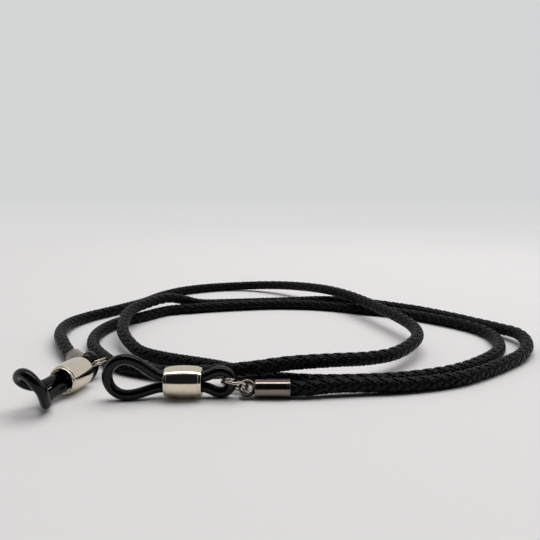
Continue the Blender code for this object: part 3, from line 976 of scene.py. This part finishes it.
@dataclass(frozen=True)
class RubberLoop:
    """One endless rubber strand: a small loop in the ring, two strands, and a big loop."""

    fitting: Fitting
    frame: Frame
    seam_ahead: float = 1.1 * MM
    arc_steps: int = 40
    pair_steps: int = 16
    ease_steps: int = 36
    stations: int = 300
    strand_sides: int = 28
    twist_steps: int = 12
    soften: int = 2
    sharp: float = 60.0

    def small_half(self) -> Array:
        """The small loop's upper half (s, height over its axis), from the limb to the bead."""
        radius = SIZES.small_radius
        quarter = bend((radius, 0.0), radius, 180, 90, self.arc_steps // 2)
        share = np.arange(1, self.ease_steps + 1) / self.ease_steps
        closed = self.fitting.bead_from_limb - self.fitting.straight_behind
        run = radius + (closed - radius) * share
        narrowing = np.column_stack([run, ease(radius, SIZES.strand_offset, share)])
        return np.vstack([quarter, narrowing, (self.fitting.bead_from_limb, SIZES.strand_offset)])

    def pair(self, share: Array) -> Array:
        """The upper strand's (t, height) off the bead's axis, which turns along the bead."""
        angle = math.radians(self.fitting.pair_turn) * share
        return SIZES.strand_offset * np.column_stack([-np.sin(angle), np.cos(angle)])

    def open_loop(self) -> Array:
        """The upright teardrop ahead of the bead (s, t, z), from its upper strand round."""
        radius = SIZES.big_height / 2 - SIZES.rubber_radius
        centre = SIZES.big_length - SIZES.rubber_radius - radius
        share = np.arange(self.ease_steps) / self.ease_steps
        axis = ease(SIZES.axis_height, SIZES.big_height / 2, share)
        half = ease(SIZES.strand_offset, radius, share)
        lean = ease(0.0, SIZES.big_lean, share)
        upper, lower = (
            np.column_stack([centre * share, lean, axis + way * half]) for way in (1, -1)
        )
        tip = bend((centre, SIZES.big_height / 2), radius, 90, -90, 2 * self.arc_steps)
        return np.vstack([upper, np.insert(tip, 1, SIZES.big_lean, axis=1), lower[::-1]])

    def twisted_loop(self) -> Array:
        """The loop that lies on its side ahead of the bead (s, t, z)."""
        side, height = self.pair(np.ones(1))[0]
        ends = [(0.0, way * side, SIZES.axis_height + way * height) for way in (1, -1)]
        path = catmull(np.vstack([ends[0], TWISTED_LOOP, ends[1]]), self.twist_steps)
        path[:, 2] = np.maximum(path[:, 2], SIZES.rubber_radius)
        return path

    def centreline(self) -> Array:
        """The strand's middle line (s, t, z), once round, the first point not repeated."""
        start, axis = self.fitting.bead_from_limb, SIZES.axis_height * UP
        half = np.insert(self.small_half(), 1, 0.0, axis=1)
        share = np.linspace(0, 1, self.pair_steps)[1:-1]
        along = (start + SIZES.bead_length * share)[:, None]
        upper, lower = axis + half, (axis + half * (1, 1, -1))[:0:-1]
        into, out_of = (axis + np.hstack([along, way * self.pair(share)]) for way in (1, -1))
        big = self.twisted_loop() if self.fitting.twisted else self.open_loop()
        ahead = big + (start + SIZES.bead_length, 0.0, 0.0)
        round_trip = np.vstack([upper, into, ahead, out_of[::-1], lower, upper[:1]])
        even = soften_ring(resample(round_trip, self.stations + 1)[:-1], self.soften)
        even[:, 2] = np.maximum(even[:, 2], SIZES.rubber_radius)
        return even

    def build(self, material: Material) -> None:
        """Carries a circle round the middle line, in two parts that meet ahead of the bead."""
        local = self.centreline()
        path = self.frame.place(local)
        sides, count = self.strand_sides, len(path)
        grid = swept(path, *carried_frames(path), disc_section(SIZES.rubber_radius, sides))
        seam = self.fitting.bead_from_limb + SIZES.bead_length + self.seam_ahead
        ahead = np.flatnonzero(local[:, 0] > seam)
        first, last = ahead[0], ahead[-1]
        self.part("rubber_strand", grid[np.arange(last, first + count + 1) % count], material)
        self.narrow(self.part("rubber_open_loop", grid[first : last + 1], material))

    def part(self, name: str, grid: Array, material: Material) -> Object:
        """One part of the strand, from its points (rows, columns, 3)."""
        side = self.fitting.side.value
        piece = tube_piece(f"{side}_{name}", grid, material, self.sharp)
        seat(piece, f"{side}_loop", "rubber", f"{side}_rubber_loop")
        return piece

    def narrow(self, open_loop: Object) -> None:
        """Works out the squeeze's anchor and way, and gives the open loop its own mesh."""
        fitting = self.fitting
        sideways, upward = fitting.squeeze_way
        anchor = self.frame.place(UP * (SIZES.axis_height - fitting.squeeze_drop))
        tuple(sideways * self.frame.axes[1] + upward * self.frame.axes[2])
        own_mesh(open_loop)


@dataclass(frozen=True)
class SliderBead:
    """A plated barrel with a rolled rim at each end and a smooth bore."""

    side: Side
    frame: Frame
    bore: float = 2.36 * MM
    bore_edge: float = 0.22 * MM
    rim_length: float = 0.50 * MM
    rim_face: float = 2.62 * MM
    rim_top: float = 2.79 * MM
    shoulder: float = 0.16 * MM
    bulge: float = 0.22 * MM
    barrel_steps: int = 30
    rim_steps: int = 8
    rim_power: float = 0.8
    shoulder_start: float = 12.0
    shoulder_steps: int = 6
    edge_steps: int = 4
    sides: int = 160
    sharp: float = 32.0

    def rim(self) -> Array:
        """(radius, along) over the front rim: a quarter oval up to the barrel's shoulder."""
        angles = np.radians(np.linspace(0, 90, self.rim_steps + 1))
        rise, length = self.rim_top - self.rim_face, self.rim_length
        start = SIZES.bead_length / 2 - length
        return np.column_stack([
            self.rim_face + rise * np.sin(angles) ** self.rim_power,
            start + length * np.cos(angles) ** self.rim_power,
        ])

    def profile(self) -> Array:
        """(radius, along): in at the bore, round one rim, over the barrel, round the other."""
        half, edge, fall = SIZES.bead_length / 2, self.bore_edge, self.shoulder
        end = half - self.rim_length - fall
        share = np.linspace(-1, 1, self.barrel_steps)
        barrel = np.column_stack([SIZES.bead_radius - self.bulge * share**2, end * share])
        centre = (SIZES.bead_radius - self.bulge - fall, end)
        corner = bend(centre, fall, self.shoulder_start, 90, self.shoulder_steps)
        front = np.vstack([
            corner,
            self.rim()[::-1],
            bend((self.bore + edge, half - edge), edge, 90, 180, self.edge_steps),
        ])
        return np.vstack([front[::-1] * (1, -1), barrel, front])

    def build(self, material: Material) -> None:
        """Turns the profile."""
        name = self.side.value
        profile, sides = self.profile(), self.sides
        bead = turned_piece(f"{name}_bead_barrel", self.frame, profile, sides, material, self.sharp)
        seat(bead, f"{name}_bead", "nickel", f"{name}_slider_bead")


# Floor, light and camera


@dataclass(frozen=True)
class Lamp:
    """An area lamp: one kind lights matt surfaces, the other is only seen mirrored."""

    name: str
    place: Triple
    size: Pair
    radiance: float
    mirrored: bool


LAMPS = (
    Lamp("soft_box", (0.30, 0.22, 0.80), (1.0, 0.70), 2.75, False),
    Lamp("tube", (0.20, -0.02, 0.76), (1.0, 0.085), 11.0, True),
)


@dataclass(frozen=True)
class Studio:
    """A plain pale floor, soft light from above, and the camera."""

    floor_reach: float = 4.0
    floor_colour: Colour = (0.80, 0.785, 0.78)
    near_tone: Colour = (0.722, 0.716, 0.714)
    far_tone: Colour = (0.660, 0.666, 0.670)
    tone_fade: Pair = (0.1, 1.0)
    shadow_fade: Pair = (0.14, 0.42)
    dim_side: float = 0.012
    bright_side: float = 0.56
    dim_behind: Pair = (0.10, 0.34)
    dim_above: Pair = (0.02, 0.09)
    camera_in_plan: Triple = (0.0, 7.14 * MM, 43.42 * MM)
    camera_pitch: float = 9.34
    focal_pixels: float = 601.9
    clip_range: Pair = (0.005, 20.0)

    def floor(self) -> None:
        """A flat sheet that keeps shadows near the object and fades into the backdrop."""
        mesh = bpy.data.meshes.new("floor")
        corners = self.floor_reach * np.array(((-1, -1, 0), (1, -1, 0), (1, 1, 0), (-1, 1, 0)))
        mesh.from_pydata(corners, [], [(0, 1, 2, 3)])
        material, board = Finish("floor", self.floor_colour, 1.0).board()
        at = board.node("ShaderNodeTexCoord").output("Object")
        gap = board.node("ShaderNodeVectorMath", {"operation": "LENGTH"}, {0: at}).output("Value")
        paper = board.node("ShaderNodeBsdfDiffuse", {}, {"Color": (*self.floor_colour, 1.0)})
        tone = board.blend(gap.rise(*self.tone_fade), self.near_tone, self.far_tone)
        glow = board.node("ShaderNodeEmission", {}, {"Color": tone, "Strength": 1.0})
        _, seen = board.seen_rays()
        share = seen * gap.rise(*self.shadow_fade)
        sheet = board.node("ShaderNodeMixShader", {}, {0: share, 1: paper, 2: glow})
        board.node("ShaderNodeOutputMaterial", {}, {"Surface": sheet})
        mesh.materials.append(material)
        add_object("floor", mesh)

    def backdrop(self) -> None:
        """A pale world, dim where the room behind the camera is."""
        world = bpy.data.worlds.new("room")
        world.use_nodes = True
        bpy.context.scene.world = world
        board = Board(world.node_tree)
        way = board.node("ShaderNodeTexCoord").output("Generated")
        split = board.node("ShaderNodeSeparateXYZ", {}, {0: way})
        behind = (split.output("Y") * -1.0).rise(*self.dim_behind)
        above = split.output("Z").rise(*self.dim_above)
        camera, seen = board.seen_rays()
        dim = 1.0 - (behind * above) * (1.0 - camera)
        pale = board.blend(seen, (self.bright_side,) * 3, self.far_tone)
        tone = board.blend(dim, (self.dim_side,) * 3, pale)
        glow = board.node("ShaderNodeBackground", {}, {"Color": tone, "Strength": 1.0})
        board.node("ShaderNodeOutputWorld", {}, {"Surface": glow})

    def lamp(self, lamp: Lamp) -> None:
        """One area lamp that shines straight down."""
        data = bpy.data.lights.new(lamp.name, "AREA")
        data.shape = "RECTANGLE"
        data.size, data.size_y = lamp.size
        data.energy = lamp.radiance * math.pi * data.size * data.size_y
        made = add_object(lamp.name, data)
        made.location = lamp.place
        made.visible_glossy = lamp.mirrored
        made.visible_diffuse = not lamp.mirrored

    def camera(self) -> None:
        """The camera, low in front of the fittings."""
        data = bpy.data.cameras.new("camera")
        data.sensor_width = SENSOR_MM
        data.lens = SENSOR_MM * self.focal_pixels / IMAGE_SIZE
        data.clip_start, data.clip_end = self.clip_range
        made = add_object("camera", data)
        made.location = planned(np.array(self.camera_in_plan))
        made.rotation_euler = (math.radians(90 - self.camera_pitch), 0.0, 0.0)
        bpy.context.scene.camera = made

    def build(self) -> None:
        """Sets up the studio."""
        bpy.context.scene.view_settings.view_transform = "Standard"
        self.camera()
        self.floor()
        self.backdrop()
        for lamp in LAMPS:
            self.lamp(lamp)


def clear_startup() -> None:
    """Removes the objects of Blender's startup scene."""
    for obj in list(bpy.data.objects):
        bpy.data.objects.remove(obj, do_unlink=True)


def plated(side: Side, metal: str, heading: float) -> Material:
    """One end's plated metal, with its hairlines turned to a heading in degrees."""
    colour, roughness, tint, hairline = METALS[metal]
    return Plate(f"{side.value}_{metal}", colour, roughness, tint, hairline, heading).material()


def dress_hidden(nodes: dict[str, Object], core: Material) -> None:
    """Gives the gripped cord ends and the glue inside the caps their materials."""
    inside = {"cord_end": core, "glue_plug": GLUE.material()}
    for side in Side:
        for node, material in inside.items():
            materials = nodes[f"{side.value}_{node}"].data.materials
            materials.clear()
            materials.append(material)


def main() -> None:
    """Builds the studio and every piece, in order."""
    logging.basicConfig(level=logging.INFO, format="%(message)s")
    clear_startup()
    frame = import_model()
    Studio().build()

    layouts = tuple(Layout.of(fitting) for fitting in FITTINGS)
    core, rubber = CORE.material(), RUBBER.material()
    BraidedCord().build(layouts, YARN.material(), core)
    for fitting, layout in zip(FITTINGS, layouts):
        side = fitting.side
        EndCap(side, layout.cap).build(plated(side, "gunmetal", fitting.cap_heading))
        SplitRing(side, layout.ring).build(plated(side, "steel", fitting.ring_heading))
        RubberLoop(fitting, layout.rubber).build(rubber)
        SliderBead(side, layout.bead).build(plated(side, "nickel", fitting.loop_heading))
    dress_hidden(frame["nodes"], core)


if __name__ == "__main__":
    main()
